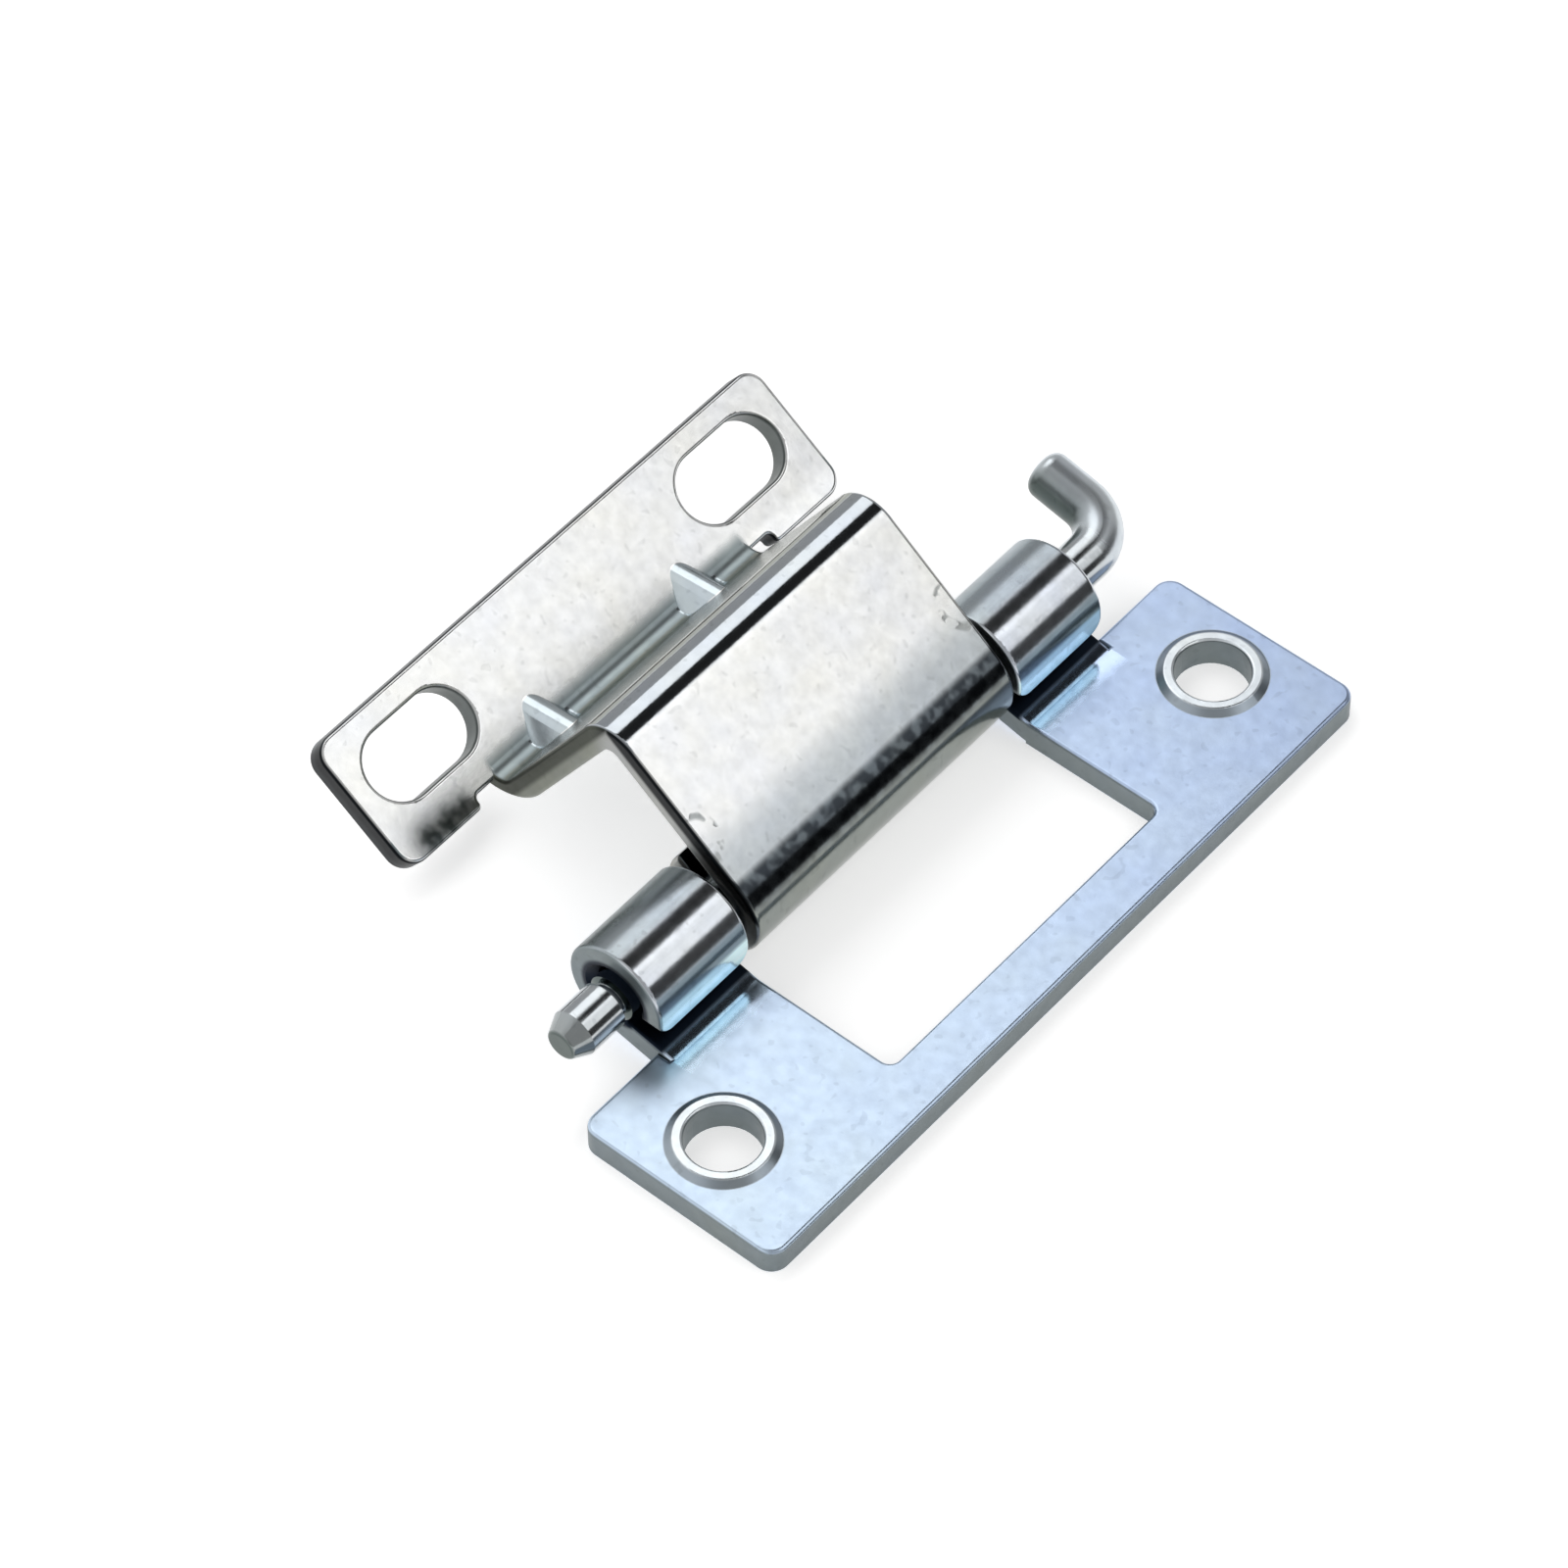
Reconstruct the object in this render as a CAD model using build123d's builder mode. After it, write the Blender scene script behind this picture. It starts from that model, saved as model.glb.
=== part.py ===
from build123d import *
import os
from math import asin, atan2, cos, degrees, hypot, radians, sin, tan

# Cabinet hinge in millimetres: a windowed frame leaf, a gooseneck door leaf and a bent pull-out pin.
# The origin is midway between the frame leaf's two screw holes, on its underside.
# +Y runs along the pin towards its bent end, +X towards the frame leaf's front edge, +Z up.

# Sheet steel of both leaves
sheet = 2.0
edge_round = 0.3

# Pin and knuckles
pin_radius = 1.75
pin_clearance = 0.15
side_clearance = 0.7
axis_setback = 3.5
axis_height = 5.0
knuckle_length = 8.7
mouth_chamfer = 0.6

# Frame leaf
plate_length = 60.0
hole_to_back = 7.8
hole_to_front = 8.4
plate_corner = 1.3
rail_width = 4.0
window_corner = 0.8
tab_setback = 1.0
tab_bend_radius = 3.0
tail_length = 1.4
tail_corner = 1.2

# Screw holes and their raised collars
hole_to_end = 5.0
hole_radius = 2.6
collar_lip = 0.7
collar_foot = 0.5
collar_height = 0.4
collar_round = 0.2

# Gooseneck leaf, with lengths along the middle of the sheet between its bend corners
leaf_width = 26.0
panel_length = 13.5
panel_slope = 38.2
fold_radius = 1.8
wall_length = 17.3
wall_slope = 57.3
bend_radius = 2.3
bend_outer_radius = 5.0
flange_width = 11.05
flange_slope = 36.1
curl_wrap = 272.0
leaf_shift = 0.2

# Flange of the gooseneck leaf, which is wider than the rest
flange_length = 44.0
flange_corner = 1.5
flange_foot = 0.75
flange_relief_width = 1.9
flange_relief_depth = 0.9
flange_relief_round = 0.4
slot_length = 9.2
slot_width = 5.2
slot_to_edge = 1.8
slot_to_end = 1.8

# Pressed darts that stiffen the corner between the flange and the wall
dart_spacing = 14.9
dart_flange_reach = 4.35
dart_wall_reach = 3.65
dart_half_width = 2.0
dart_depth = 2.5
dart_crest_round = 1.1
dent_half_width = 1.8

# Pin ends
nose_reach = 5.25
nose_tip_radius = 1.1
nose_taper = 1.35
nose_tip_round = 0.3
groove_radius = 1.35
groove_width = 0.4
groove_offset = 0.45
groove_chamfer = 0.15
arm_standoff = 3.3
arm_bend_radius = 3.0
arm_length = 3.8
arm_slope = 12.5
arm_tip_round = 0.9

# Places worked out from the sizes above
bore_radius = pin_radius + pin_clearance
curl_radius = bore_radius + sheet / 2
axis_x = -hole_to_back - axis_setback
axis_point = (axis_x, axis_height)
pin_axis = Axis((axis_x, 0, axis_height), (0, 1, 0))
plate_depth = hole_to_front + hole_to_back
hole_spacing = plate_length - 2 * hole_to_end
slot_spacing = flange_length - 2 * slot_to_end - slot_length
window_half = leaf_width / 2 + side_clearance
window_front = hole_to_front - rail_width
knuckle_end = window_half + knuckle_length
tab_line = -hole_to_back + tab_setback
near = 0.01


def along(start, angle, length):
    """The point a length away from start, at an angle in degrees from the first axis."""
    return (start[0] + length * cos(radians(angle)), start[1] + length * sin(radians(angle)))


# Frame leaf's screw tab with the knuckle rolled from it, up the back, over the pin and down the front
tab_root = (tab_line + 2 * edge_round, sheet / 2)
tab_kink = (tab_line, sheet / 2)
kink_to_axis = (axis_x - tab_kink[0], axis_height - tab_kink[1])
tab_turn = degrees(atan2(kink_to_axis[1], kink_to_axis[0]) + asin(curl_radius / hypot(*kink_to_axis)))
roll_start = 90 + tab_turn
roll_foot = along(axis_point, roll_start, curl_radius)
tail_top = along(axis_point, 0, curl_radius)

with BuildPart() as rolled_tab:
    with BuildSketch(Plane.XZ.offset(-window_half)):
        with BuildLine():
            FilletPolyline(tab_root, tab_kink, roll_foot, radius=tab_bend_radius)
            CenterArc(axis_point, curl_radius, roll_start, -roll_start)
            Line(tail_top, along(tail_top, -90, tail_length))
        trace(line_width=sheet)
    extrude(amount=-knuckle_length)
    tail_end = rolled_tab.faces().filter_by(Plane.XY).filter_by_position(
        Axis.Z, axis_height - tail_length - edge_round, axis_height)
    fillet(tail_end.edges().filter_by(Axis.X), tail_corner)
    side_edges = rolled_tab.faces().filter_by(Axis.Y).edges()
    fillet(side_edges.filter_by(lambda edge: edge.center().X < tab_line + edge_round), edge_round)
    with BuildSketch(Plane.XY.offset(axis_height)):
        with BuildLine():
            Polyline(
                (axis_x, knuckle_end),
                (axis_x + bore_radius + mouth_chamfer, knuckle_end),
                (axis_x + bore_radius, knuckle_end - mouth_chamfer),
                (axis_x, knuckle_end - mouth_chamfer),
                close=True,
            )
        make_face()
    revolve(axis=pin_axis, mode=Mode.SUBTRACT)

# Raised collar round a screw hole
with BuildPart() as collar:
    with BuildSketch(Plane.XZ):
        with BuildLine():
            collar_top = hole_radius + collar_lip
            Polyline(
                (0, 0),
                (collar_top + collar_foot, 0),
                (collar_top + collar_foot, sheet),
                (collar_top, sheet + collar_height),
                (0, sheet + collar_height),
                close=True,
            )
        make_face()
    revolve(axis=Axis.Z)
    fillet(collar.edges().group_by(Axis.Z)[-1], collar_round)

# Frame leaf: a flat plate with a window open at the back, and a rolled knuckle at each side of it
with BuildPart() as frame_leaf:
    with BuildSketch() as plate_outline:
        with Locations(((hole_to_front - hole_to_back) / 2, 0)):
            Rectangle(plate_depth, plate_length)
        fillet(plate_outline.vertices(), plate_corner)
        with Locations((window_front, 0)):
            Rectangle(plate_depth, 2 * window_half, align=(Align.MAX, Align.CENTER), mode=Mode.SUBTRACT)
        window_ends = plate_outline.vertices().filter_by(lambda corner: abs(corner.X - window_front) < near)
        fillet(window_ends, window_corner)
        with Locations((tab_line, 0)):
            Rectangle(plate_depth, 2 * knuckle_end, align=(Align.MAX, Align.CENTER), mode=Mode.SUBTRACT)
    extrude(amount=sheet)
    fillet(frame_leaf.faces().sort_by(Axis.Z)[-1].edges(), edge_round)
    with GridLocations(0, hole_spacing, 1, 2):
        add(collar.part)
    with GridLocations(0, hole_spacing, 1, 2):
        Hole(hole_radius)
    hole_rims = frame_leaf.edges().filter_by(GeomType.CIRCLE).group_by(Axis.Z)[-1]
    fillet(hole_rims.group_by(SortBy.RADIUS)[0], collar_round)
    add(rolled_tab.part)
    mirror(rolled_tab.part, about=Plane.XZ)
frame_leaf.part.label = "frame_leaf"

# Gooseneck leaf: knuckle, panel, fold, wall and bend in the middle of the sheet, seen from its end
panel_start = along(axis_point, 90 - panel_slope, curl_radius)
fold = along(panel_start, 180 - panel_slope, panel_length)
bend = along(fold, 180 + wall_slope, wall_length)
corner_half = (180 - flange_slope - wall_slope) / 2
corner_depth = sheet / 2 / sin(radians(corner_half))
bend_reach = bend_radius / tan(radians(corner_half))
outer_reach = bend_outer_radius / tan(radians(corner_half))
outer_corner = along(bend, 180 + wall_slope + corner_half, corner_depth)
squeeze_start = along(outer_corner, 180 - flange_slope, outer_reach)
squeeze_end = along(outer_corner, wall_slope, outer_reach)
flange_plane = Plane(
    origin=(bend[0], 0, bend[1]),
    x_dir=(-cos(radians(flange_slope)), 0, sin(radians(flange_slope))),
    z_dir=(sin(radians(flange_slope)), 0, cos(radians(flange_slope))),
)
slot_row = flange_width - slot_to_edge - slot_width / 2
inner_corner = along(bend, wall_slope + corner_half, corner_depth)
ridge_low = along(inner_corner, 180 - flange_slope, dart_flange_reach)
ridge_high = along(inner_corner, wall_slope, dart_wall_reach)
ridge = (ridge_high[0] - ridge_low[0], ridge_high[1] - ridge_low[1])

# What the press squeezes off the outside of the bend
with BuildPart() as squeezed_corner:
    with BuildSketch(Plane.XZ):
        with BuildLine():
            Polyline(squeeze_start, outer_corner, squeeze_end)
            into_bend = (outer_corner[0] - squeeze_start[0], outer_corner[1] - squeeze_start[1])
            TangentArc(squeeze_start, squeeze_end, tangent=into_bend)
        make_face()
    extrude(amount=leaf_width / 2, both=True)

with BuildPart() as bent_strip:
    with BuildSketch(Plane.XZ):
        with BuildLine():
            stub_end = along(bend, 180 - flange_slope, bend_reach + edge_round)
            FilletPolyline(panel_start, fold, bend, stub_end, radius=[fold_radius, bend_radius])
            CenterArc(axis_point, curl_radius, 90 - panel_slope, -curl_wrap)
        trace(line_width=sheet)
    extrude(amount=leaf_width / 2, both=True)
    add(squeezed_corner.part, mode=Mode.SUBTRACT)
    fillet(bent_strip.faces().filter_by(Axis.Y).edges(), edge_round)

with BuildPart() as gooseneck_leaf:
    with BuildSketch(flange_plane) as flange_outline:
        with Locations((flange_foot, 0)):
            Rectangle(flange_width - flange_foot, flange_length, align=(Align.MIN, Align.CENTER))
        fillet(flange_outline.vertices(), flange_corner)
        relief_end = leaf_width / 2 + flange_relief_width
        with Locations((flange_foot + flange_relief_depth, 0)):
            Rectangle(flange_width, 2 * relief_end, align=(Align.MAX, Align.CENTER), mode=Mode.SUBTRACT)
        relief_steps = flange_outline.vertices().filter_by(lambda step: abs(abs(step.Y) - relief_end) < near)
        fillet(relief_steps, flange_relief_round)
        with Locations((slot_row, 0)):
            with GridLocations(0, slot_spacing, 1, 2):
                SlotOverall(slot_length, slot_width, rotation=90, mode=Mode.SUBTRACT)
    extrude(amount=sheet / 2, both=True)
    flange_faces = gooseneck_leaf.faces().filter_by(flange_plane)
    fillet(flange_faces.edges(), edge_round)
    with BuildSketch(flange_plane):
        with Locations((bend_reach, 0)):
            Rectangle(bend_reach, leaf_width - 2 * edge_round, align=(Align.MAX, Align.CENTER))
    extrude(amount=sheet / 2, both=True, mode=Mode.SUBTRACT)
    add(squeezed_corner.part, mode=Mode.SUBTRACT)
    add(bent_strip.part)
    for side in (-1, 1):
        ridge_plane = Plane(
            origin=(ridge_low[0], side * dart_spacing / 2, ridge_low[1]),
            x_dir=(0, 1, 0),
            z_dir=(ridge[0], 0, ridge[1]),
        )
        with BuildSketch(ridge_plane) as dart_section:
            with BuildLine():
                Polyline((0, 0), (dart_half_width, -dart_depth), (-dart_half_width, -dart_depth), close=True)
            make_face()
            fillet(dart_section.vertices().sort_by(Axis.Y)[-1], dart_crest_round)
        extrude(amount=hypot(*ridge))
        with BuildSketch(ridge_plane.offset(edge_round)):
            with BuildLine():
                Polyline(
                    (0, -sheet),
                    (dent_half_width, -sheet - dent_half_width),
                    (-dent_half_width, -sheet - dent_half_width),
                    close=True,
                )
            make_face()
        extrude(amount=hypot(*ridge) - 2 * edge_round, mode=Mode.SUBTRACT)
gooseneck_leaf.part = gooseneck_leaf.part.moved(Location((0, leaf_shift, 0)))
gooseneck_leaf.part.label = "gooseneck_leaf"

# Pin: turned nose and groove at one end, bent arm at the other
with BuildPart() as hinge_pin:
    nose_tip = -knuckle_end - nose_reach
    groove_start = -knuckle_end - groove_offset - groove_width
    bend_start = knuckle_end + arm_standoff
    with BuildSketch(Plane.XY):
        with BuildLine():
            Polyline(
                (0, nose_tip),
                (nose_tip_radius, nose_tip),
                (pin_radius, nose_tip + nose_taper),
                (pin_radius, groove_start - groove_chamfer),
                (groove_radius, groove_start),
                (groove_radius, groove_start + groove_width),
                (pin_radius, groove_start + groove_width + groove_chamfer),
                (pin_radius, bend_start),
                (0, bend_start),
                close=True,
            )
        make_face()
    revolve(axis=Axis.Y)
    fillet(hinge_pin.faces().sort_by(Axis.Y)[0].edges(), nose_tip_round)
    with BuildLine(Plane.YZ) as arm_route:
        arm_bend = CenterArc((bend_start, arm_bend_radius), arm_bend_radius, 270, 90)
        Line(arm_bend @ 1, (bend_start + arm_bend_radius, arm_bend_radius + arm_length))
    with BuildSketch(Plane.XZ.offset(-bend_start)):
        Circle(pin_radius)
    sweep(path=arm_route.wires()[0])
    fillet(hinge_pin.edges().group_by(Axis.Z)[-1], arm_tip_round)
upright_arm = hinge_pin.part
hinge_pin.part = upright_arm.rotate(Axis.Y, arm_slope - 90).moved(Location((axis_x, 0, axis_height)))
hinge_pin.part.label = "hinge_pin"

os.makedirs("parts", exist_ok=True)
for piece in (frame_leaf, gooseneck_leaf, hinge_pin):
    export_step(piece.part, "parts/" + piece.part.label + ".step")
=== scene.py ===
import bpy
import bmesh
from functools import partial
from math import cos, pi, radians, sin, tan
from mathutils import Matrix, Vector

# Looks of a zinc-plated cabinet hinge. Metres, in the part's frame: +Y runs along the pin to its bent end,
# +X to the frame leaf's front edge, +Z up from the frame leaf's underside.

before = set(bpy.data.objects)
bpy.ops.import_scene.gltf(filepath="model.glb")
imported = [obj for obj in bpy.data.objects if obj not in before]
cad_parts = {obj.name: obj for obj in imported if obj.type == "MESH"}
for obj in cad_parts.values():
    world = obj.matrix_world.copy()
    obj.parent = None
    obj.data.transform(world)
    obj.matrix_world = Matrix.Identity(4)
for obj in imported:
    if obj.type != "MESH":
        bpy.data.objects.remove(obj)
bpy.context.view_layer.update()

MM = 0.001

# Camera fitted to the photograph
CAMERA_AZIMUTH = 41.05
CAMERA_ELEVATION = 51.07
CAMERA_ROLL = -0.95
CAMERA_DISTANCE = 472.5 * MM
CAMERA_TARGET = Vector((-16.874, 0.760, 0)) * MM
CAMERA_LENS = 164.1

# Room
FLOOR_SIZE = 4.0
FLOOR_DROP = 0.02 * MM
FLOOR_GLOW = 0.5
LAMP_DISTANCE = 0.6

# Places, directions and sizes of the part. The first four are lines along the pin's direction: the pin's axis,
# the two corners of the sheet's middle, and the centre that the lower bend turns about.
PIN_AXIS = Vector((-11.3, 0, 5.0)) * MM
FOLD = Vector((-20.116, 0, 15.628)) * MM
BEND = Vector((-29.462, 0, 1.070)) * MM
BEND_CENTRE = Vector((-30.079, 0, 4.367)) * MM
PANEL_UP = Vector((sin(radians(38.2)), 0, cos(radians(38.2))))
WALL_OUT = Vector((-sin(radians(57.3)), 0, cos(radians(57.3))))
FLANGE_UP = Vector((sin(radians(36.1)), 0, cos(radians(36.1))))
FLANGE_ALONG = Vector((-cos(radians(36.1)), 0, sin(radians(36.1))))
KNUCKLE_END = 22.4 * MM
HOLE_PLACE = 25.0 * MM
SHEET_HALF = 1.0 * MM
ROLL_RADIUS = 3.9 * MM
BORE_RIM = 3.0 * MM
BORE_WALL = 2.6 * MM
LEAF_SHIFT = 0.2 * MM
LEAF_HALF = 13.0 * MM
DART_PLACE = 7.45 * MM
DART_HALF = 2.0 * MM

# Places on the flange: from its bend towards its far edge, and from the leaf's middle towards its ends
FLANGE_START = 2.4 * MM
SLOT_NEAR = 3.5 * MM
SLOT_FAR = 9.8 * MM
SLOT_END = 20.8 * MM
DARK_PATCH_PLACE = 17.6 * MM

# Sizes of the marks on the plating. The real grain is finer, and is drawn as coarse as the render can show.
CLOUD_SIZE = 4.0 * MM
MOTTLE_SIZE = 0.9 * MM
SPECK_SIZE = 0.6 * MM
GRAIN_SIZE = 0.4 * MM
GRAIN_DEPTH = 0.003
PRESS_DEPTH = 0.01

FADE = {"interpolation_type": "SMOOTHSTEP"}


def linear(code):
    """An sRGB hex colour such as "#c8ccd0" as linear RGBA."""
    parts = [int(code[k:k + 2], 16) / 255 for k in (1, 3, 5)]
    return [p / 12.92 if p <= 0.04045 else ((p + 0.055) / 1.055) ** 2.4 for p in parts] + [1.0]


def add_node(tree, kind, inputs=None, **settings):
    """Adds a node, sets its properties, and gives its inputs in use a value, a socket or a node to read."""
    node = tree.nodes.new(kind)
    for name, value in settings.items():
        setattr(node, name, value)
    open_inputs = [socket for socket in node.inputs if socket.enabled]
    for place, value in (inputs or {}).items():
        socket = open_inputs[place] if isinstance(place, int) else node.inputs[place]
        if isinstance(value, bpy.types.Node):
            value = next(output for output in value.outputs if output.enabled)
        if isinstance(value, bpy.types.NodeSocket):
            tree.links.new(value, socket)
        else:
            socket.default_value = value
    return node


def start_finish(name):
    """An empty material, a short call that adds nodes to it, and the place and normal on the piece."""
    material = bpy.data.materials.new(name)
    material.use_nodes = True
    material.node_tree.nodes.clear()
    add = partial(add_node, material.node_tree)
    coordinates = add("ShaderNodeTexCoord")
    return material, add, coordinates.outputs["Object"], coordinates.outputs["Normal"]


def plated_steel(add, place, colour, roughness, marks):
    """The plated surface itself: clouds from the bath, small dark specks, and a fine crystalline grain.
    The heights of the grain and the marks are in millimetres."""
    cloud = add("ShaderNodeTexNoise", {"Vector": place, "Scale": 1 / CLOUD_SIZE, "Detail": 3.0})
    mottle = add("ShaderNodeTexNoise", {"Vector": place, "Scale": 1 / MOTTLE_SIZE, "Detail": 3.0})
    speck = add("ShaderNodeTexNoise", {"Vector": place, "Scale": 1 / SPECK_SIZE, "Detail": 0.0})
    grain = add("ShaderNodeTexNoise", {"Vector": place, "Scale": 1 / GRAIN_SIZE, "Detail": 2.0})
    tint = add("ShaderNodeMix", {0: cloud, 1: linear("#f6f8ff"), 2: linear("#fffdf5")}, data_type="RGBA")
    tinted = add("ShaderNodeMix", {0: 1.0, 1: colour, 2: tint}, data_type="RGBA", blend_type="MULTIPLY")
    shade = add("ShaderNodeMapRange", {0: mottle, 1: 0.3, 2: 0.7, 3: 0.95, 4: 1.02})
    dots = add("ShaderNodeMapRange", {0: speck, 1: 0.70, 2: 0.78, 3: 1.0, 4: 0.9}, **FADE)
    dotted = add("ShaderNodeMath", {0: shade, 1: dots}, operation="MULTIPLY")
    shaded = add("ShaderNodeMix", {0: 1.0, 1: tinted, 2: dotted}, data_type="RGBA", blend_type="MULTIPLY")
    height = add("ShaderNodeMath", {0: grain, 1: GRAIN_DEPTH, 2: marks}, operation="MULTIPLY_ADD")
    bump = add("ShaderNodeBump", {"Height": height, "Distance": MM, "Strength": 1.0})
    dulled = add("ShaderNodeMapRange", {0: mottle, 1: 0.3, 2: 0.7, 3: 0.02, 4: -0.02})
    rough = add("ShaderNodeMath", {0: roughness, 1: dulled}, operation="ADD")
    shader = add("ShaderNodeBsdfPrincipled", {
        "Base Color": shaded, "Metallic": 1.0, "Roughness": rough, "Normal": bump})
    add("ShaderNodeOutputMaterial", {"Surface": shader})


def blue_zinc():
    """Bright zinc tinted pale blue, a painted reflection of bluish light: satin on the flat plate, burnished on
    top of the knuckles and painted dull grey on their backs as shade. The sheared edges are grey."""
    material, add, place, normal = start_finish("zinc_plate_with_painted_blue_reflection")
    x, y, z = add("ShaderNodeSeparateXYZ", {0: place}).outputs
    side = add("ShaderNodeMath", {0: y}, operation="ABSOLUTE")
    normal_x, normal_y, normal_z = add("ShaderNodeSeparateXYZ", {0: normal}).outputs
    facing_end = add("ShaderNodeMath", {0: normal_y}, operation="ABSOLUTE")
    facing_up = add("ShaderNodeMath", {0: normal_z}, operation="ABSOLUTE")
    from_axis = add("ShaderNodeVectorMath", {0: place, 1: (0, 1, 0)}, operation="CROSS_PRODUCT")
    to_axis = add("ShaderNodeVectorMath", {0: from_axis, 1: (-PIN_AXIS.z, 0, PIN_AXIS.x)}, operation="DISTANCE")

    # The roll: a bright crown that turns greyer and rougher towards its back, partly scuffing and partly painted
    # shade; painted shade darkens the back, most at the -Y end, and the grey shoulder above the blue tail
    rolled = add("ShaderNodeMapRange", {0: z, 1: 2.6 * MM, 2: 4.0 * MM}, **FADE)
    scuffed_and_shaded = add("ShaderNodeMapRange", {0: normal_x, 1: 0.2, 2: 0.0}, **FADE)
    painted_back_shade = add("ShaderNodeMapRange", {0: normal_x, 1: -0.3, 2: -0.6}, **FADE)
    shoulder = add("ShaderNodeMapRange", {0: normal_x, 1: 0.78, 2: 0.9}, **FADE)
    tail = add("ShaderNodeMapRange", {0: z, 1: 5.9 * MM, 2: 5.4 * MM}, **FADE)
    on_roll = add("ShaderNodeMix", {0: scuffed_and_shaded, 1: linear("#d6dbe2"), 2: linear("#a7b0b7")}, data_type="RGBA")
    pin_way = add("ShaderNodeMapRange", {0: y, 1: -28 * MM, 2: 28 * MM})
    shaded_back = add("ShaderNodeMix", {0: pin_way, 1: linear("#6a7577"), 2: linear("#a3aeb5")}, data_type="RGBA")
    on_roll = add("ShaderNodeMix", {0: painted_back_shade, 1: on_roll, 2: shaded_back}, data_type="RGBA")
    on_roll = add("ShaderNodeMix", {0: shoulder, 1: on_roll, 2: linear("#7f8f99")}, data_type="RGBA")
    # The tail's pale cyan, lighter towards its top, is a painted reflection of the blue plate.
    on_front = add("ShaderNodeMapRange", {0: normal_x, 1: 0.3, 2: 0.6}, **FADE)
    front_tail = add("ShaderNodeMath", {0: tail, 1: on_front}, operation="MULTIPLY")
    tail_low = add("ShaderNodeMapRange", {0: z, 1: 4.8 * MM, 2: 3.6 * MM}, **FADE)
    tail_reflection = add("ShaderNodeMix", {0: tail_low, 1: linear("#defafe"), 2: linear("#a4ccd8")}, data_type="RGBA")
    on_roll = add("ShaderNodeMix", {0: front_tail, 1: on_roll, 2: tail_reflection}, data_type="RGBA")
    die_place = add("ShaderNodeMapping", {"Vector": place, "Scale": (1.0, 0.08, 1.0)})
    die_lines = add("ShaderNodeTexNoise", {"Vector": die_place, "Scale": 1 / MOTTLE_SIZE, "Detail": 4.0})
    die_shade = add("ShaderNodeMapRange", {0: die_lines, 1: 0.3, 2: 0.7, 3: 0.86, 4: 1.04})
    on_roll = add("ShaderNodeMix", {0: 1.0, 1: on_roll, 2: die_shade}, data_type="RGBA", blend_type="MULTIPLY")

    # The collars round the screw holes: a painted highlight on the lip, and painted shade on the greyer slope
    # outside it
    along_edge = add("ShaderNodeMath", {0: side, 1: HOLE_PLACE}, operation="SUBTRACT")
    from_hole = add("ShaderNodeCombineXYZ", {0: x, 1: along_edge})
    hole_reach = add("ShaderNodeVectorMath", {0: from_hole}, operation="LENGTH").outputs["Value"]
    slope = add("ShaderNodeMapRange", {0: hole_reach, 1: 3.25 * MM, 2: 3.4 * MM}, **FADE)
    collar = add("ShaderNodeMapRange", {0: hole_reach, 1: 3.9 * MM, 2: 3.8 * MM}, **FADE)
    collar_highlight_and_shade = add("ShaderNodeMix", {0: slope, 1: linear("#e2e9ee"), 2: linear("#a0aab3")}, data_type="RGBA")

    # Sheared edges, grey: partly their own finish and partly painted shade. The places between plate and roll,
    # and the bore, are painted near black: painted shadow
    steep = add("ShaderNodeMapRange", {0: facing_up, 1: 0.6, 2: 0.3}, **FADE)
    low = add("ShaderNodeMapRange", {0: z, 1: 2.5 * MM, 2: 2.45 * MM})
    plate_edge = add("ShaderNodeMath", {0: steep, 1: low}, operation="MULTIPLY")
    roll_end = add("ShaderNodeMapRange", {0: facing_end, 1: 0.6, 2: 0.9}, **FADE)
    cut = add("ShaderNodeMath", {0: plate_edge, 1: roll_end}, operation="MAXIMUM")
    bore = add("ShaderNodeMapRange", {0: to_axis, 1: BORE_RIM, 2: BORE_WALL}, **FADE)
    under_roll = add("ShaderNodeMapRange", {0: x, 1: -7.1 * MM, 2: -7.6 * MM}, **FADE)
    upward = add("ShaderNodeMapRange", {0: normal_z, 1: 0.1, 2: 0.3})
    shallow = add("ShaderNodeMapRange", {0: z, 1: 3.6 * MM, 2: 3.4 * MM})
    between = add("ShaderNodeMapRange", {0: side, 1: KNUCKLE_END, 2: KNUCKLE_END - 0.1 * MM})
    shadow_under_roll = under_roll
    for mask in (upward, shallow, between):
        shadow_under_roll = add("ShaderNodeMath", {0: shadow_under_roll, 1: mask}, operation="MULTIPLY")
    shadow_under_roll = add("ShaderNodeMath", {0: shadow_under_roll, 1: bore}, operation="MAXIMUM")

    # The plate's pale blue tint is a painted reflection of bluish light, and it is painted a little lighter
    # towards the -Y end: painted light.
    colour = add("ShaderNodeMix", {0: pin_way, 1: linear("#c5d6e8"), 2: linear("#b6c8e6")}, data_type="RGBA")
    for mask, layer in (
            (collar, collar_highlight_and_shade), (rolled, on_roll), (cut, linear("#7f888b")), (shadow_under_roll, linear("#1c2430"))):
        colour = add("ShaderNodeMix", {0: mask, 1: colour, 2: layer}, data_type="RGBA")

    # Satin plate, shinier beside the recess where it mirrors the tail of the roll
    by_recess = add("ShaderNodeMapRange", {0: x, 1: -4.8 * MM, 2: -6.0 * MM}, **FADE)
    by_recess = add("ShaderNodeMath", {0: by_recess, 1: between}, operation="MULTIPLY")
    burnished = add("ShaderNodeMapRange", {0: scuffed_and_shaded, 3: 0.17, 4: 0.26})
    roughness = 0.30
    for mask, value in ((by_recess, 0.13), (rolled, burnished), (cut, 0.4), (shadow_under_roll, 0.45)):
        roughness = add("ShaderNodeMapRange", {0: mask, 3: roughness, 4: value})
    plated_steel(add, place, colour, roughness, 0.0)
    return material


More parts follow.
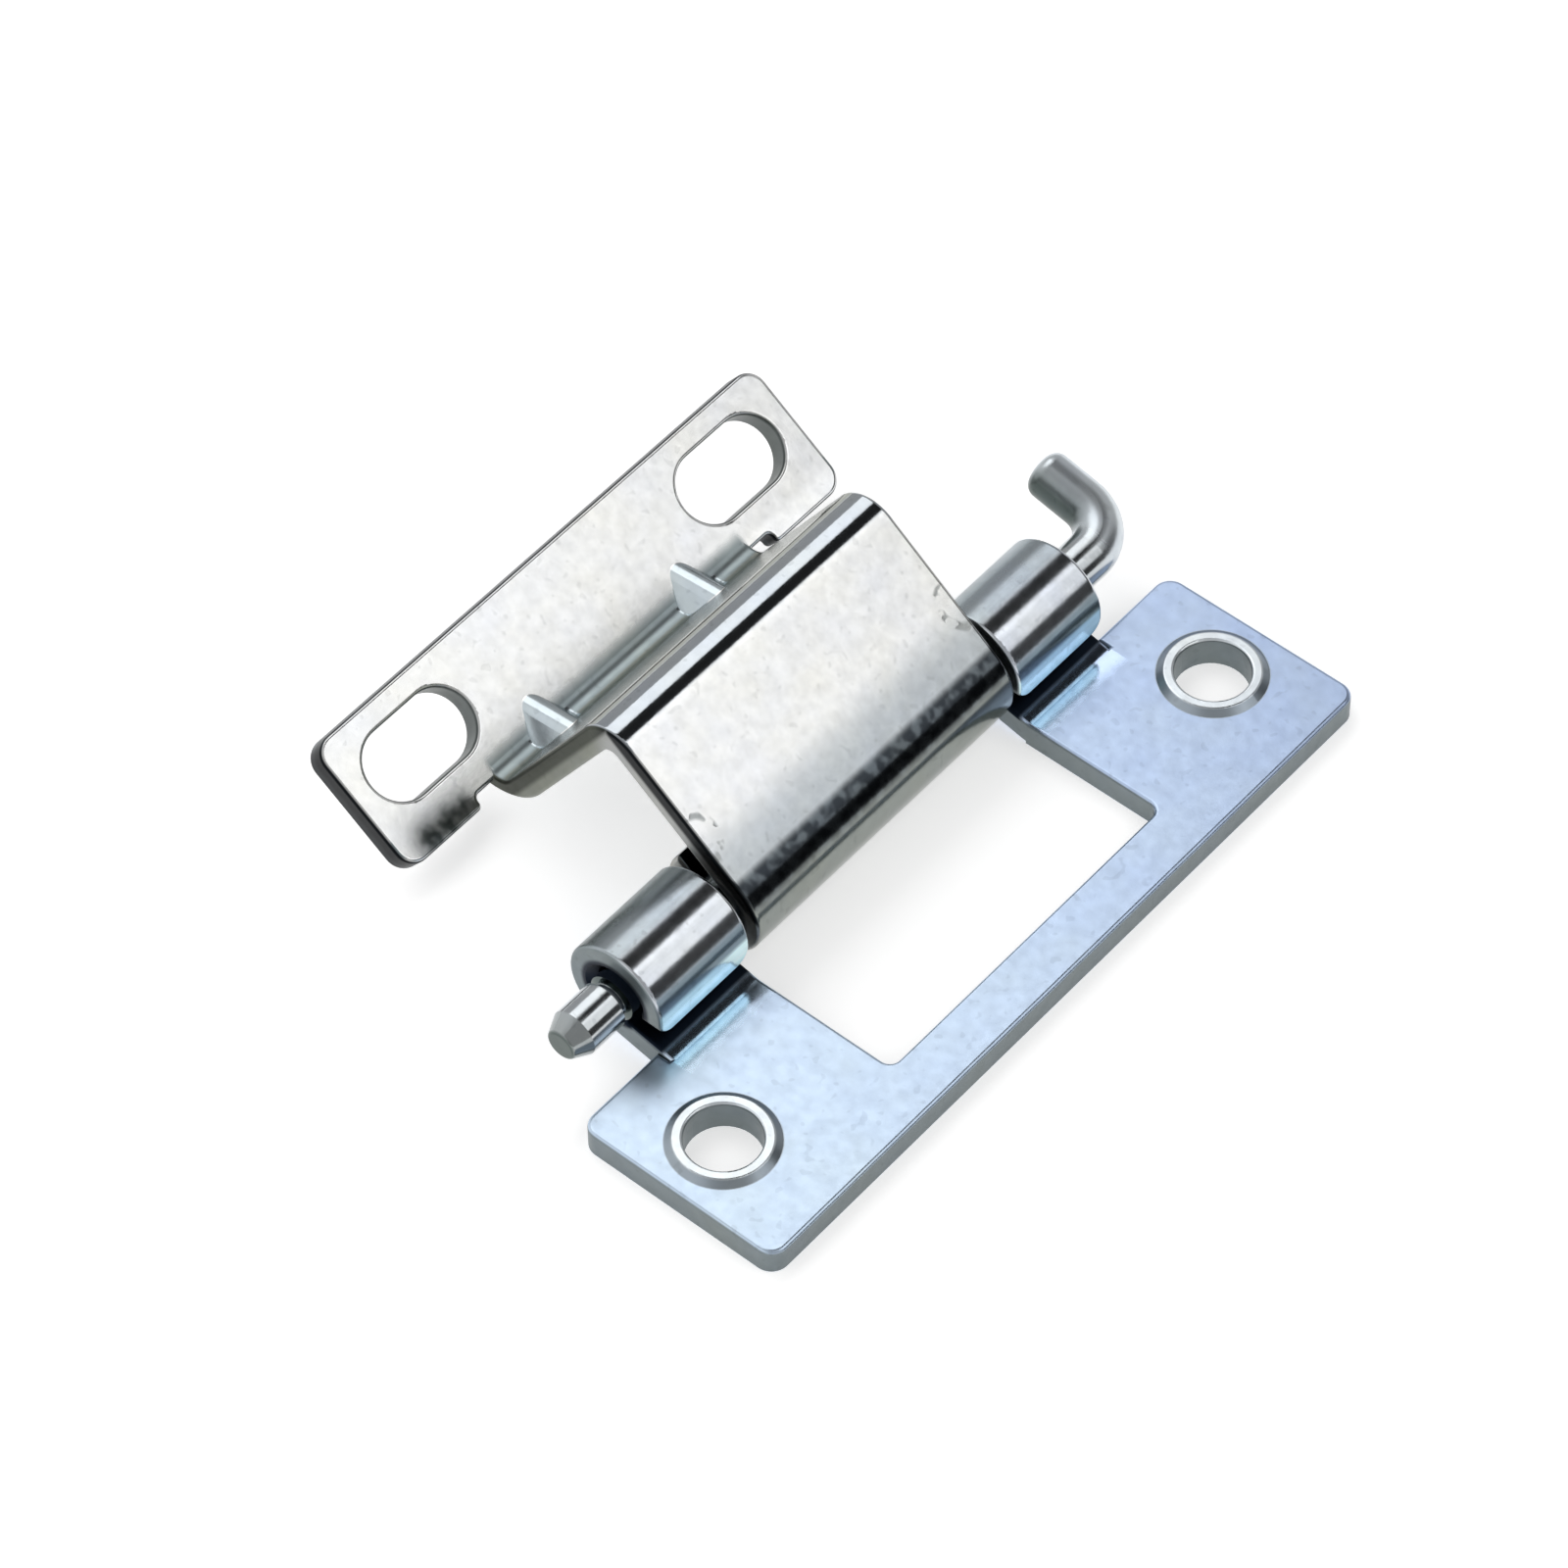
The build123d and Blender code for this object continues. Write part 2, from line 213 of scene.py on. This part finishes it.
def clear_zinc():
    """Bright zinc under a clear passivation: near white and satin, and shiny along the bends that the press tools
    rubbed.
    Painted shade makes the fold, the inner corner, the rolled barrel and the panel beside it grey, the steep wall
    olive and the bore dark; the sheared edges are dark, partly as painted dark reflection."""
    material, add, place, normal = start_finish("clear_passivated_zinc_plate")
    x, y, z = add("ShaderNodeSeparateXYZ", {0: place}).outputs
    normal_y, normal_z = add("ShaderNodeSeparateXYZ", {0: normal}).outputs[1:]
    centred = add("ShaderNodeMath", {0: y, 1: LEAF_SHIFT}, operation="SUBTRACT")
    side = add("ShaderNodeMath", {0: centred}, operation="ABSOLUTE")
    facing_end = add("ShaderNodeMath", {0: normal_y}, operation="ABSOLUTE")
    profile = add("ShaderNodeCombineXYZ", {0: x, 2: z})
    to_axis = add("ShaderNodeVectorMath", {0: profile, 1: PIN_AXIS}, operation="DISTANCE")
    to_fold = add("ShaderNodeVectorMath", {0: profile, 1: FOLD}, operation="DISTANCE")
    to_bend = add("ShaderNodeVectorMath", {0: profile, 1: BEND}, operation="DISTANCE")
    from_bend = add("ShaderNodeVectorMath", {0: place, 1: BEND}, operation="SUBTRACT")
    reach = add("ShaderNodeVectorMath", {0: from_bend, 1: FLANGE_ALONG}, operation="DOT_PRODUCT").outputs["Value"]
    from_fold = add("ShaderNodeVectorMath", {0: place, 1: FOLD}, operation="SUBTRACT")
    flange_depth, wall_depth, panel_depth = (
        add("ShaderNodeVectorMath", {0: start, 1: upright}, operation="DOT_PRODUCT").outputs["Value"]
        for start, upright in ((from_bend, FLANGE_UP), (from_bend, WALL_OUT), (from_fold, PANEL_UP)))

    # Sheared edges: a burnished land under the rim, and a paler torn face below it. The land's near black and the
    # flange rim's darker greys are painted dark reflection
    depth = add("ShaderNodeMath", {0: wall_depth, 1: flange_depth}, operation="MINIMUM")
    depth = add("ShaderNodeMath", {0: depth, 1: panel_depth}, operation="MAXIMUM")
    land = add("ShaderNodeMapRange", {0: depth, 1: -0.3 * MM, 2: 0.15 * MM}, **FADE)
    on_flange = add("ShaderNodeVectorMath", {0: normal, 1: FLANGE_UP}, operation="DOT_PRODUCT").outputs["Value"]
    across_flange = add("ShaderNodeMath", {0: on_flange}, operation="ABSOLUTE")
    flange_steep = add("ShaderNodeMapRange", {0: across_flange, 1: 0.9, 2: 0.65}, **FADE)
    beyond_bend = add("ShaderNodeMapRange", {0: reach, 1: FLANGE_START - 0.1 * MM, 2: FLANGE_START + 0.1 * MM})
    beyond_darts = add("ShaderNodeMapRange", {0: reach, 1: SLOT_FAR, 2: SLOT_FAR + 0.2 * MM})
    beside_darts = add("ShaderNodeMapRange", {0: side, 1: 10.3 * MM, 2: 10.5 * MM})
    beside_wall = add("ShaderNodeMapRange", {0: side, 1: LEAF_HALF + 0.02 * MM, 2: LEAF_HALF + 0.12 * MM})
    in_flange = add("ShaderNodeMath", {0: beyond_bend, 1: beside_darts}, operation="MULTIPLY")
    in_flange = add("ShaderNodeMath", {0: in_flange, 1: beside_wall}, operation="MAXIMUM")
    in_flange = add("ShaderNodeMath", {0: in_flange, 1: beyond_darts}, operation="MAXIMUM")
    flange_edge = add("ShaderNodeMath", {0: flange_steep, 1: in_flange}, operation="MULTIPLY")
    at_end = add("ShaderNodeMapRange", {0: facing_end, 1: 0.3, 2: 0.75}, **FADE)
    near_edge = add("ShaderNodeMapRange", {0: side, 1: LEAF_HALF - 0.4 * MM, 2: LEAF_HALF - 0.25 * MM})
    strip_edge = add("ShaderNodeMath", {0: at_end, 1: near_edge}, operation="MULTIPLY")
    cut = add("ShaderNodeMath", {0: flange_edge, 1: strip_edge}, operation="MAXIMUM")
    under_wall = add("ShaderNodeMapRange", {0: x, 1: -19.5 * MM, 2: -21.5 * MM}, **FADE)
    torn = add("ShaderNodeMix", {0: under_wall, 1: linear("#a8a9a7"), 2: linear("#8b8e85")}, data_type="RGBA")
    on_rim = add("ShaderNodeMix", {0: at_end, 1: linear("#63686a"), 2: linear("#2b2e31")}, data_type="RGBA")
    torn = add("ShaderNodeMix", {0: in_flange, 1: torn, 2: on_rim}, data_type="RGBA")
    on_land = add("ShaderNodeMix", {0: under_wall, 1: linear("#15181b"), 2: linear("#4d5048")}, data_type="RGBA")
    rim_land = add("ShaderNodeMix", {0: at_end, 1: linear("#3c4043"), 2: linear("#15181b")}, data_type="RGBA")
    on_land = add("ShaderNodeMix", {0: in_flange, 1: on_land, 2: rim_land}, data_type="RGBA")
    sheared = add("ShaderNodeMix", {0: land, 1: torn, 2: on_land}, data_type="RGBA")
    in_slot = add("ShaderNodeMapRange", {0: side, 1: SLOT_END, 2: SLOT_END - 0.2 * MM})
    slot_far = add("ShaderNodeMapRange", {0: reach, 1: SLOT_FAR, 2: SLOT_FAR - 0.2 * MM})
    slot_near = add("ShaderNodeMapRange", {0: reach, 1: SLOT_NEAR, 2: SLOT_NEAR + 0.2 * MM})
    for mask in (slot_far, slot_near):
        in_slot = add("ShaderNodeMath", {0: in_slot, 1: mask}, operation="MULTIPLY")
    sheared = add("ShaderNodeMix", {0: in_slot, 1: sheared, 2: linear("#5f6463")}, data_type="RGBA")

    # The wall, painted olive grey: painted shade
    on_wall = add("ShaderNodeVectorMath", {0: normal, 1: WALL_OUT}, operation="DOT_PRODUCT").outputs["Value"]
    wall_start = add("ShaderNodeMapRange", {0: x, 1: -23 * MM, 2: -26 * MM, 3: 0.86, 4: 0.70})
    wall_end = add("ShaderNodeMapRange", {0: x, 1: -23 * MM, 2: -26 * MM, 3: 0.94, 4: 0.86})
    wall = add("ShaderNodeMapRange", {0: on_wall, 1: wall_start, 2: wall_end}, **FADE)

    # The corner between wall and flange and the flange beside the bend, painted grey-blue: painted shade. The
    # darts are pressed across it, and the fold between panel and wall is smoother where rubbed and painted
    # greyer: painted shade on its highlight
    to_centre = add("ShaderNodeVectorMath", {0: profile, 1: BEND_CENTRE}, operation="DISTANCE")
    in_corner = add("ShaderNodeMapRange", {0: to_centre, 1: 1.6 * MM, 2: 1.4 * MM}, **FADE)
    off_flange = add("ShaderNodeMapRange", {0: on_flange, 1: 0.998, 2: 0.97}, **FADE)
    in_corner = add("ShaderNodeMath", {0: in_corner, 1: off_flange}, operation="MULTIPLY")
    beside_bend = add("ShaderNodeMapRange", {0: reach, 1: FLANGE_START + 1.1 * MM, 2: FLANGE_START}, **FADE)
    flange_top = add("ShaderNodeMapRange", {0: flange_depth, 1: SHEET_HALF - 0.2 * MM, 2: SHEET_HALF - 0.05 * MM})
    flange_low = add("ShaderNodeMapRange", {0: flange_depth, 1: SHEET_HALF + 0.2 * MM, 2: SHEET_HALF + 0.1 * MM})
    within_strip = add("ShaderNodeMapRange", {0: side, 1: LEAF_HALF, 2: LEAF_HALF - 0.4 * MM})
    for mask in (flange_low, within_strip, flange_top):
        beside_bend = add("ShaderNodeMath", {0: beside_bend, 1: mask}, operation="MULTIPLY")
    in_corner = add("ShaderNodeMath", {0: in_corner, 1: beside_bend}, operation="MAXIMUM")
    from_dart = add("ShaderNodeMath", {0: side, 1: DART_PLACE}, operation="SUBTRACT")
    from_dart = add("ShaderNodeMath", {0: from_dart}, operation="ABSOLUTE")
    dart = add("ShaderNodeMapRange", {0: from_dart, 1: DART_HALF, 2: DART_HALF - 0.1 * MM})
    above = add("ShaderNodeMath", {0: wall_depth, 1: flange_depth}, operation="MINIMUM")
    raised = add("ShaderNodeMapRange", {0: above, 1: SHEET_HALF + 0.02 * MM, 2: SHEET_HALF + 0.08 * MM})
    dart = add("ShaderNodeMath", {0: dart, 1: raised}, operation="MULTIPLY")
    on_panel = add("ShaderNodeVectorMath", {0: normal, 1: PANEL_UP}, operation="DOT_PRODUCT").outputs["Value"]
    off_panel = add("ShaderNodeMapRange", {0: on_panel, 1: 0.99, 2: 0.95}, **FADE)
    fold_rub_and_shade = add("ShaderNodeMapRange", {0: to_fold, 1: 2.6 * MM, 2: 2.0 * MM}, **FADE)
    fold_rub_and_shade = add("ShaderNodeMath", {0: fold_rub_and_shade, 1: off_panel}, operation="MULTIPLY")

    # The barrel rolled round the pin, painted in dark grey streaks with a paler underside, and the panel painted
    # darker towards it: painted shade and dark reflection. The bore is painted dark: painted shade
    barrel = add("ShaderNodeMapRange", {
        0: to_axis, 1: ROLL_RADIUS + 0.11 * MM, 2: ROLL_RADIUS + 0.005 * MM}, **FADE)
    near_barrel = add("ShaderNodeMapRange", {0: to_axis, 1: 6.5 * MM, 2: 4.0 * MM}, **FADE)
    underside = add("ShaderNodeMapRange", {0: normal_z, 1: 0.6, 2: 0.35}, **FADE)
    bore = add("ShaderNodeMapRange", {0: to_axis, 1: BORE_RIM, 2: BORE_WALL}, **FADE)
    patches = add("ShaderNodeTexNoise", {"Vector": place, "Scale": 1 / MOTTLE_SIZE, "Detail": 1.0})
    streaked = add("ShaderNodeMapRange", {0: patches, 1: 0.4, 2: 0.65}, **FADE)
    on_barrel = add("ShaderNodeMix", {0: streaked, 1: linear("#363b40"), 2: linear("#5c6368")}, data_type="RGBA")
    on_barrel = add("ShaderNodeMix", {0: underside, 1: on_barrel, 2: linear("#8e938f")}, data_type="RGBA")

    # Marks of the press tool by the panel's corners, and a dark patch on the flange's near tab: painted dark
    # reflection
    along_panel = add("ShaderNodeMapRange", {0: to_axis, 1: 4.0 * MM, 2: 7.5 * MM, 3: -1.6, 4: 1.3}, clamp=False)
    inward = add("ShaderNodeMapRange", {0: side, 1: LEAF_HALF, 2: LEAF_HALF - 1.5 * MM}, clamp=False)
    stamp = add("ShaderNodeCombineXYZ", {0: along_panel, 1: inward})
    stamp_reach = add("ShaderNodeVectorMath", {0: stamp}, operation="LENGTH").outputs["Value"]
    from_rim = add("ShaderNodeMath", {0: stamp_reach, 1: 1.0}, operation="SUBTRACT")
    from_rim = add("ShaderNodeMath", {0: from_rim}, operation="ABSOLUTE")
    press_mark = add("ShaderNodeMapRange", {0: from_rim, 1: 0.25, 2: 0.05}, **FADE)
    broken = add("ShaderNodeMapRange", {0: patches, 1: 0.44, 2: 0.54}, **FADE)
    panel_top = add("ShaderNodeMapRange", {0: panel_depth, 1: SHEET_HALF - 0.1 * MM, 2: SHEET_HALF - 0.02 * MM})
    for mask in (broken, panel_top):
        press_mark = add("ShaderNodeMath", {0: press_mark, 1: mask}, operation="MULTIPLY")
    from_dark_patch = add("ShaderNodeMath", {0: y, 1: DARK_PATCH_PLACE}, operation="ADD")
    from_dark_patch = add("ShaderNodeMath", {0: from_dark_patch}, operation="ABSOLUTE")
    painted_dark_patch = add("ShaderNodeMapRange", {0: from_dark_patch, 1: 3.4 * MM, 2: 1.6 * MM}, **FADE)
    dark_patch_width = add("ShaderNodeMapRange", {0: reach, 1: 3.6 * MM, 2: 1.6 * MM}, **FADE)
    patch_breakup = add("ShaderNodeMapRange", {0: patches, 1: 0.3, 2: 0.6, 3: 0.6, 4: 1.0})
    for mask in (dark_patch_width, flange_top, patch_breakup):
        painted_dark_patch = add("ShaderNodeMath", {0: painted_dark_patch, 1: mask}, operation="MULTIPLY")

    # Near-white plating, and each finish and painted shade laid over the ones before it
    colour = linear("#f0f1f1")
    for mask, layer in (
            (fold_rub_and_shade, linear("#bac0c6")), (in_corner, linear("#9da8ab")), (wall, linear("#8c8f89")),
            (dart, linear("#c6d0d5")), (near_barrel, linear("#bcc2c6")), (painted_dark_patch, linear("#5c6262")),
            (press_mark, linear("#a5a9a9")), (barrel, on_barrel), (cut, sheared), (bore, linear("#3a3e42"))):
        colour = add("ShaderNodeMix", {0: mask, 1: colour, 2: layer}, data_type="RGBA")
    near_bend = add("ShaderNodeMapRange", {0: to_bend, 1: 3.0 * MM, 2: 2.0 * MM}, **FADE)
    rubbed = add("ShaderNodeMath", {0: barrel, 1: near_bend}, operation="MAXIMUM")
    roughness = 0.24
    for mask, value in ((rubbed, 0.16), (fold_rub_and_shade, 0.1), (in_corner, 0.36), (dart, 0.2), (cut, 0.38)):
        roughness = add("ShaderNodeMapRange", {0: mask, 3: roughness, 4: value})
    marks = add("ShaderNodeMath", {0: press_mark, 1: -PRESS_DEPTH}, operation="MULTIPLY")
    plated_steel(add, place, colour, roughness, marks)
    return material


def drawn_pin():
    """Drawn steel wire, bright where the nose was machined and dull grey along the bend at the other end. The
    faces of
    the nose end are painted dark: painted shade.
    """
    material, add, place, normal = start_finish("bright_drawn_steel")
    y = add("ShaderNodeSeparateXYZ", {0: place}).outputs["Y"]
    normal_y = add("ShaderNodeSeparateXYZ", {0: normal}).outputs["Y"]
    draw_lines = add("ShaderNodeMapping", {"Vector": place, "Scale": (1.0, 0.12, 1.0)})
    lines = add("ShaderNodeTexNoise", {"Vector": draw_lines, "Scale": 1 / MOTTLE_SIZE})
    bent = add("ShaderNodeMapRange", {0: y, 1: 24 * MM, 2: 27.5 * MM}, **FADE)
    colour = add("ShaderNodeMix", {0: bent, 1: linear("#c3c8cb"), 2: linear("#d6dde2")}, data_type="RGBA")
    # The cone and end face of the nose, facing -Y, are painted dark: painted shade.
    shaded_nose_end = add("ShaderNodeMapRange", {0: normal_y, 1: -0.1, 2: -0.9})
    colour = add("ShaderNodeMix", {0: shaded_nose_end, 1: colour, 2: linear("#5f6866")}, data_type="RGBA")
    smooth = add("ShaderNodeMapRange", {0: lines, 3: 0.12, 4: 0.18})
    dull = add("ShaderNodeMapRange", {0: lines, 3: 0.28, 4: 0.34})
    roughness = add("ShaderNodeMapRange", {0: bent, 3: smooth, 4: dull})
    plated_steel(add, place, colour, roughness, 0.0)
    return material


def softbox(name, angles, tilts, radiance):
    """A softbox seen from the hinge between two angles from straight up, across the pin and along it."""
    angle, tilt = sum(angles) / 2, sum(tilts) / 2
    wide, long = (2 * LAMP_DISTANCE * tan(radians(pair[1] - pair[0]) / 2) for pair in (angles, tilts))
    light = bpy.data.lights.new(name, "AREA")
    light.shape = "RECTANGLE"
    light.size, light.size_y = wide, long
    light.energy = radiance * pi * wide * long
    lamp = bpy.data.objects.new(name, light)
    bpy.context.scene.collection.objects.link(lamp)
    across = Vector((cos(radians(angle)), 0, -sin(radians(angle))))
    level = cos(radians(tilt))
    away = Vector((sin(radians(angle)) * level, sin(radians(tilt)), cos(radians(angle)) * level))
    turn = Matrix((across, away.cross(across), away)).transposed().to_4x4()
    lamp.matrix_world = Matrix.Translation(away * LAMP_DISTANCE) @ turn


def set_camera():
    """The photograph's camera. Its angles are those it is seen under from its target."""
    a, e, r = radians(CAMERA_AZIMUTH), radians(CAMERA_ELEVATION), radians(CAMERA_ROLL)
    back = Vector((sin(a) * cos(e), -cos(a) * cos(e), sin(e)))
    right = Vector((cos(a), sin(a), 0))
    up = back.cross(right)
    rolled_right = right * cos(r) + up * sin(r)
    rolled_up = up * cos(r) - right * sin(r)
    camera = bpy.data.cameras.new("camera")
    camera.lens = CAMERA_LENS
    camera.sensor_width = 36.0
    camera.clip_start = 0.01
    holder = bpy.data.objects.new("camera", camera)
    bpy.context.scene.collection.objects.link(holder)
    turn = Matrix((rolled_right, rolled_up, back)).transposed().to_4x4()
    holder.matrix_world = Matrix.Translation(CAMERA_TARGET + back * CAMERA_DISTANCE) @ turn
    bpy.context.scene.camera = holder


def set_floor():
    """A pale floor that takes the hinge's shadow, and that glows only where the camera or the metal sees it."""
    material = bpy.data.materials.new("pale_floor")
    material.use_nodes = True
    tree = material.node_tree
    tree.nodes.clear()
    path = add_node(tree, "ShaderNodeLightPath")
    seen = add_node(tree, "ShaderNodeMath", {0: path.outputs["Is Camera Ray"], 1: path.outputs["Is Glossy Ray"]},
                    operation="MAXIMUM")
    seen_or_through = add_node(tree, "ShaderNodeMath", {0: seen, 1: path.outputs["Is Transmission Ray"]},
                               operation="MAXIMUM")
    matt = add_node(tree, "ShaderNodeBsdfDiffuse", {"Color": linear("#f2f2f2")})
    strength = add_node(tree, "ShaderNodeMath", {0: seen_or_through, 1: FLOOR_GLOW}, operation="MULTIPLY")
    glow = add_node(tree, "ShaderNodeEmission", {"Strength": strength})
    both = add_node(tree, "ShaderNodeAddShader", {0: matt, 1: glow})
    add_node(tree, "ShaderNodeOutputMaterial", {"Surface": both})
    mesh = bpy.data.meshes.new("floor")
    shape = bmesh.new()
    bmesh.ops.create_grid(shape, x_segments=1, y_segments=1, size=FLOOR_SIZE / 2)
    bmesh.ops.translate(shape, verts=shape.verts, vec=(0, 0, -FLOOR_DROP))
    shape.to_mesh(mesh)
    shape.free()
    mesh.materials.append(material)
    floor = bpy.data.objects.new("floor", mesh)
    bpy.context.scene.collection.objects.link(floor)


def set_world():
    """A grey studio with a pale wall on the left behind the camera. Beyond the hinge it is black to the right
    and overhead between the softboxes, which draws the dark lines on the rolled metal."""
    world = bpy.data.worlds.new("studio")
    bpy.context.scene.world = world
    world.use_nodes = True
    tree = world.node_tree
    direction = add_node(tree, "ShaderNodeTexCoord").outputs["Generated"]
    across, along_pin, up = add_node(tree, "ShaderNodeSeparateXYZ", {0: direction}).outputs
    to_wall = add_node(tree, "ShaderNodeVectorMath", {0: direction, 1: (-0.66, -0.75, 0.0)},
                       operation="DOT_PRODUCT").outputs["Value"]
    strength = add_node(tree, "ShaderNodeMapRange", {0: to_wall, 1: 0.25, 2: 0.65, 3: 0.48, 4: 1.0}, **FADE)
    ahead = add_node(tree, "ShaderNodeMapRange", {0: along_pin, 1: 0.02, 2: 0.2}, **FADE)
    right = add_node(tree, "ShaderNodeMapRange", {0: across, 1: 0.3, 2: 0.5}, **FADE)
    right = add_node(tree, "ShaderNodeMath", {0: right, 1: ahead}, operation="MULTIPLY")
    dimmed = add_node(tree, "ShaderNodeMapRange", {0: right, 3: 1.0, 4: 0.1})
    strength = add_node(tree, "ShaderNodeMath", {0: strength, 1: dimmed}, operation="MULTIPLY")
    sideways = add_node(tree, "ShaderNodeMath", {0: across}, operation="ABSOLUTE")
    overhead = add_node(tree, "ShaderNodeMapRange", {0: sideways, 1: 0.3, 2: 0.22}, **FADE)
    high = add_node(tree, "ShaderNodeMapRange", {0: up, 1: 0.6, 2: 0.75}, **FADE)
    gap = add_node(tree, "ShaderNodeMath", {0: overhead, 1: ahead}, operation="MULTIPLY")
    gap = add_node(tree, "ShaderNodeMath", {0: gap, 1: high}, operation="MULTIPLY")
    strength = add_node(tree, "ShaderNodeMapRange", {0: gap, 3: strength, 4: 0.02})
    background = tree.nodes["Background"]
    background.inputs["Color"].default_value = [1, 1, 1, 1]
    tree.links.new(strength.outputs[0], background.inputs["Strength"])


def finish_nodes():
    """Gives each CAD mesh its finish and leaves the mesh as it is."""
    materials = {"frame_leaf": blue_zinc(), "gooseneck_leaf": clear_zinc(), "hinge_pin": drawn_pin()}
    for node, material in materials.items():
        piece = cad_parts[node]
        piece.data.materials.clear()
        piece.data.materials.append(material)


set_camera()
set_floor()
set_world()
softbox("softbox_left", (-50, -18), (-4, 36), 1.25)
softbox("softbox_right", (17, 57), (2, 36), 1.2)
finish_nodes()
bpy.context.scene.view_settings.view_transform = "Standard"
